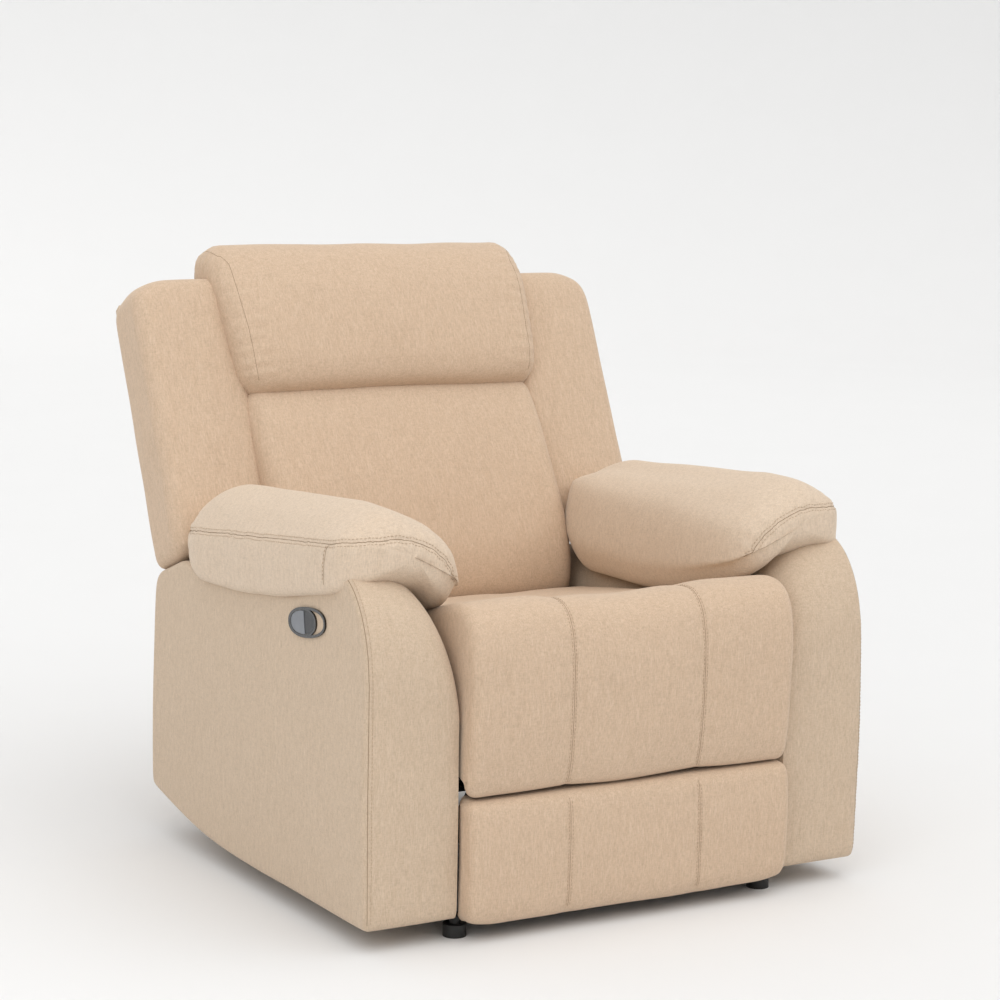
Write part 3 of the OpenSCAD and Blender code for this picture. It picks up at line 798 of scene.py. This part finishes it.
def seat():
    """The seat cushion, with a tall front roll and two sewn channels."""
    body = "base"
    low = SEAT_LOW[2] - 4
    corners = [(-472, low + 24), (-478, low + 4), (-490, low - 1), (-502, low + 8), (-512, low + 45),
               (-519, low + 110), (-521, 400), (-518, 446), (-508, 486), (-488, 512), (-460, 522),
               (-425, 518), (-370, 502), (-300, 481), (-200, 460), (-60, 436), (60, 419), (112, 410),
               (134, 384), (132, 340), (124, 296), (60, 291), (-200, 291), (-440, 291), (-466, 286)]
    outline = smooth_outline(corners, 300)
    piece = across("seat", outline, SEAT_HALF, 20, MATERIALS["cushion_fabric"], middle=110)
    points = coordinates(piece)
    x, y, z = points.T
    top = np.clip((z - 300) / 120, 0, 1)
    front = np.clip((-300 - y) / 120, 0, 1)
    scoop = 7.0 * np.exp(-(x / 95) ** 2) * np.clip((z - 420) / 80, 0, 1) * np.clip((-y) / 200, 0, 1)
    points[:, 2] -= scoop
    out = normals(piece)
    amount = -5.0 * sum(np.exp(-((x - s * CHANNEL_X) / 30) ** 2) for s in (-1, 1))
    amount = amount * np.clip(front + top * 0.3, 0, 1)
    amount *= 0.25 + 0.75 * np.clip((z - 250) / 120, 0, 1)
    points += out * amount[:, None]
    place(piece, points)
    relax_surface(piece, 3.0, 130, 21)
    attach(piece, body)
    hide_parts("seat_cushion")
    path = [p for p in outline if p[0] < -250 and p[1] > low + 8 and not (p[0] > -474 and p[1] < 300)]
    path = sorted(path, key=lambda p: math.atan2(p[1] - 400, -(p[0] + 330)))
    for s in (-1, 1):
        line = np.array([(s * CHANNEL_X, p[0], p[1]) for p in path])
        seam(piece, body, "seat_channel_" + hand(s), line, depth=1.3, width=6.0, pucker=0.6,
             rows=(3.5, -3.5), shade_line_radius=0.4, pitch=36, seed=4 + s)
    return piece


def footrest():
    """The footrest's padded panel, with two rows of stitching that carry on the seat's channels."""
    low, high = FOOT_LOW, FOOT_HIGH
    front = low[1] - 1
    rear = -463.5
    corners = [(rear, low[2] + 6), (rear - 6, low[2] + 1), (front + 26, low[2]), (front + 9, low[2] + 6),
               (front + 1, low[2] + 26), (front - 1, 90), (front - 2, 130), (front - 1, 175),
               (front + 3, high[2] - 16), (front + 12, high[2] - 3), (front + 28, high[2]),
               (rear - 5, high[2]), (rear, high[2] - 6), (rear, 130)]
    outline = smooth_outline(corners, 160)
    piece = across("footrest", outline, SEAT_HALF, 16, MATERIALS["cushion_fabric"], middle=100)
    points = coordinates(piece)
    x, y, z = points.T
    face = np.clip((-484 - y) / 20, 0, 1)
    points[:, 1] += face * 3.0 * sum(np.exp(-((x - s * CHANNEL_X) / 16) ** 2) for s in (-1, 1))
    round_off = np.clip((np.abs(x) - (SEAT_HALF - 60)) / 60, 0, 1) ** 2
    points[:, 2] += 9.0 * round_off * np.clip((110 - z) / 80, 0, 1)
    place(piece, points)
    relax_surface(piece, 1.6, 110, 31)
    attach(piece, "footrest")
    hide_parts("footrest_pad")
    for s in (-1, 1):
        line = [(s * CHANNEL_X, front - 2, z) for z in np.linspace(low[2] + 12, high[2] - 6, 40)]
        seam(piece, "footrest", "footrest_channel_" + hand(s), line, depth=1.0, width=5.0,
             pucker=0.3, rows=(3.5, -3.5), shade_line_radius=0.35, pitch=34, seed=6 + s)
    return piece


# ------------------------------------------------------------------ backrest


def back_piece(name, corners, half, radius, node, crown, soft, flare=None):
    """A cushion of the backrest, swept across from its [thickness, up] outline."""
    outline = smooth_outline(corners, 240)
    piece = across(name, outline, half, radius, LEANING_FABRIC, middle=90)
    points = coordinates(piece)
    x = points[:, 0]
    full = 1 - (x / half) ** 2
    ahead = np.clip((-20 - points[:, 1]) / 40, 0, 1)
    points[:, 1] -= crown * full * ahead
    if flare:
        points[:, 0] *= 1 + flare(points)
    place(piece, back_to_world(points))
    relax_surface(piece, *soft)
    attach(piece, "backrest")
    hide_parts(node)
    return piece


def lumbar():
    """The cushion behind the sitter's back."""
    corners = [(-8, 26), (-30, 18), (-62, 30), (-92, 62), (-110, 120), (-113, 190), (-108, 270), (-98, 350),
               (-88, 405), (-76, 440), (-48, 458), (-14, 456), (-6, 400), (-6, 230)]
    return back_piece("lumbar", corners, 291, 34, "lumbar_cushion", crown=7, soft=(3.0, 140, 43))


def head():
    """The head cushion, which stands proud of the wings and wraps over the top."""
    corners = [(-10, 440), (-40, 436), (-72, 438), (-97, 451), (-109, 482), (-112, 530), (-110, 585),
               (-102, 640), (-84, 688), (-56, 718), (-22, 729), (14, 725), (38, 708), (47, 684),
               (44, 662), (20, 658), (-4, 652), (-8, 600), (-8, 520)]

    def flare(points):
        behind = np.clip((points[:, 1] + 10) / 50, 0, 1)
        return 0.060 * np.clip((points[:, 2] - 450) / 190, 0, 1) ** 0.8 * (1 - 0.8 * behind)

    piece = back_piece("head", corners, 297, 38, "head_cushion", crown=8, soft=(3.0, 120, 47), flare=flare)
    for s in (-1, 1):
        side = [(s * (268 + 16 * k), -98 + 20 * abs(k - 0.4), 462 + 210 * k) for k in np.linspace(0, 1, 20)]
        side += [(s * (286 + 4 * k), -86 + 74 * k, 676 + 40 * k) for k in np.linspace(0.1, 1, 10)]
        line = back_to_world(np.array(side, float))
        seam(piece, "backrest", "head_side_" + hand(s), line, depth=1.2, width=5.0, pucker=0.8,
             rows=(), shade_line_radius=0.4, pitch=23, seed=8 + s)
    return piece


def wing(side):
    """An upholstered wing beside the cushions, closed over its board."""
    x_in, x_out = 272.0, 463.0
    middle_x = (x_in + x_out) / 2
    name = "side_wing_" + hand(side)
    corners = [(45, 170), (10, 164), (-30, 164), (-54, 174), (-64, 212), (-66, 400), (-65, 560), (-62, 622),
               (-50, 650), (-26, 661), (6, 662), (34, 656), (47, 640), (50, 600), (50, 400), (50, 220)]
    outline = smooth_outline(corners, 220)
    piece = across(name, outline, (x_out - x_in) / 2, 22, LEANING_FABRIC, middle=34)
    points = coordinates(piece)
    x = points[:, 0]
    points[:, 1] -= 9 * np.cos(x / 96 * math.pi / 2) * np.clip((-20 - points[:, 1]) / 30, 0, 1)
    outward = np.clip((x / 94 - 0.25) / 0.75, 0, 1) ** 2
    points[:, 2] += np.clip((points[:, 2] - 520) / 140, 0, 1) * (6 - 26 * outward)
    points[:, 0] = side * (x + middle_x)
    place(piece, back_to_world(points))
    fix_normals(piece)
    relax_surface(piece, 2.2, 120, 51 + side)
    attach(piece, "backrest")
    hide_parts("wing_right" if side > 0 else "wing_left")
    return piece


def soft_panel(name, corners, thickness, body, node, to_world, crown=2.0, seed=61):
    """A flat upholstered panel: an [x, z] outline with rounded edges, thickness along y."""
    outline = anticlockwise(resample(np.asarray(corners, float), 260, True))
    edge = min(thickness / 2, 4.0)
    centre = outline.mean(axis=0)
    rings = []
    for face in (-1, 1):
        stack = []
        for share in np.linspace(0.05, 0.96, 12):
            ring = centre + (inset(outline, edge) - centre) * share
            stack.append((ring, face * (thickness / 2 + crown * (1 - share ** 2))))
        for a in np.linspace(0, math.pi / 2, 4):
            stack.append((inset(outline, edge * (1 - math.sin(a))),
                          face * (thickness / 2 - edge * (1 - math.cos(a)))))
        if face > 0:
            stack.reverse()
        for ring, y in stack:
            rings.append(np.column_stack([ring[:, 0], np.full(len(ring), y), ring[:, 1]]))
    rings = np.array(rings)
    flat = rings.reshape(-1, 3)
    rings = to_world(flat).reshape(rings.shape)
    piece = loft(name, rings, MATERIALS["casing_fabric"])
    relax_surface(piece, 0.8, 160, seed)
    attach(piece, body)
    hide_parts(node)
    return piece


def rounded(corners, radius, steps=6):
    """A polygon with its corners rounded."""
    corners = np.asarray(corners, float)
    points = []
    n = len(corners)
    for i in range(n):
        before, here, after = corners[i - 1], corners[i], corners[(i + 1) % n]
        a = here + (before - here) / np.linalg.norm(before - here) * radius
        b = here + (after - here) / np.linalg.norm(after - here) * radius
        for t in np.linspace(0, 1, steps):
            points.append((1 - t) ** 2 * a + 2 * t * (1 - t) * here + t * t * b)
    return points


def back_cover():
    """The upholstered outer back."""
    corners = rounded([(-281, -12), (281, -12), (281, 186), (452, 186), (452, 652), (-452, 652), (-452, 186),
                       (-281, 186)], 16)

    def to_world(points):
        shifted = points + np.array([0, 47.0, 0])
        return back_to_world(shifted)

    return soft_panel("outer_back", corners, 9, "backrest", "back_cover", to_world, crown=2.5)


def valance():
    """The fabric panel that closes the base behind."""
    low, high = node_box("rear_valance")
    corners = rounded([(low[0], low[2]), (high[0], low[2]), (high[0], high[2]), (low[0], high[2])], 8)

    def to_world(points):
        return points + np.array([0, (low[1] + high[1]) / 2, 0])

    return soft_panel("base_back", corners, high[1] - low[1], "base", "rear_valance", to_world,
                      crown=1.0, seed=67)


for end in (-1, 1):
    arm_casing(end)
    arm_pad(end)
    wing(end)
seat()
footrest()
lumbar()
head()
back_cover()
valance()

# ------------------------------------------------------------------ studio


def backdrop():
    """A pale round floor that curves up far away on all sides."""
    material = Nodes("studio_floor")
    soft = material.noise(material.stretched((1, 1, 1)), 3.0)
    paint = material.ramp(soft, [(0.0, (0.795,) * 3), (1.0, (0.805,) * 3)])
    material.link(paint, material.shader.inputs["Base Color"])
    material.set(Roughness=0.9)
    flat, bend, wall = 9.0, 3.0, 4.0
    profile = [(flat * share, 0.0) for share in (0.02, 0.3, 1.0)]
    profile += [(flat + bend * math.sin(a), bend * (1 - math.cos(a)))
                for a in np.linspace(0.1, math.pi / 2, 14)]
    profile += [(flat + bend, bend + wall)]
    turns = np.linspace(0, 2 * math.pi, 96, endpoint=False)
    rings = [[(r * math.cos(a) / MM, r * math.sin(a) / MM, z / MM) for a in turns] for r, z in profile]
    points = [p for ring in rings for p in ring]
    count = len(turns)
    faces = [tuple(range(count))]
    for row in range(len(rings) - 1):
        for k in range(count):
            after = (k + 1) % count
            low, high = row * count, (row + 1) * count
            faces.append((low + after, low + k, high + k, high + after))
    floor = make_mesh("floor", points, faces, material.material)


backdrop()
